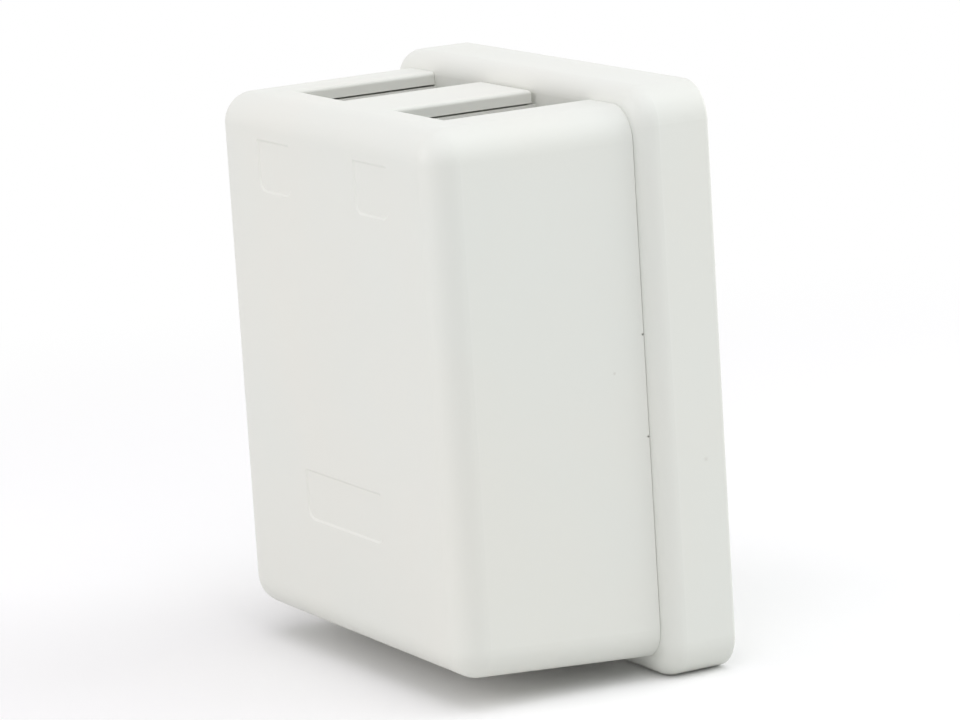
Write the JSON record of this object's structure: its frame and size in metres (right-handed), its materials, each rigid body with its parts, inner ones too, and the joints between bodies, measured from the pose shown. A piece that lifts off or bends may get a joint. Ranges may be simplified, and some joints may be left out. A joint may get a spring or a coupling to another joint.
{
  "type": "surface mount jack box",
  "caption": "Wall box for snap-in jacks: a shallow screw-down base with a rounded rim, and a deep clip-on cover with jack windows in one end.",
  "frame": {"origin": "centre of the back of the base, on the wall's surface", "axes": "+Y into the wall, -Y out of it; +Z towards the port end; +X to the right seen from the front"},
  "size_m": [0.073, 0.0432, 0.086],
  "materials": {
    "base_plastic": "fine satin",
    "cover_plastic": "fine satin"
  },
  "bodies": {
    "base": {"base": "base_plastic"},
    "cover": {"cover": "cover_plastic"}
  },
  "joints": [
    {"name": "cover_lift_off", "type": "slide", "parent": "base", "child": "cover", "axis": [0, -1, 0], "range_m": [0, 0.045]}
  ]
}
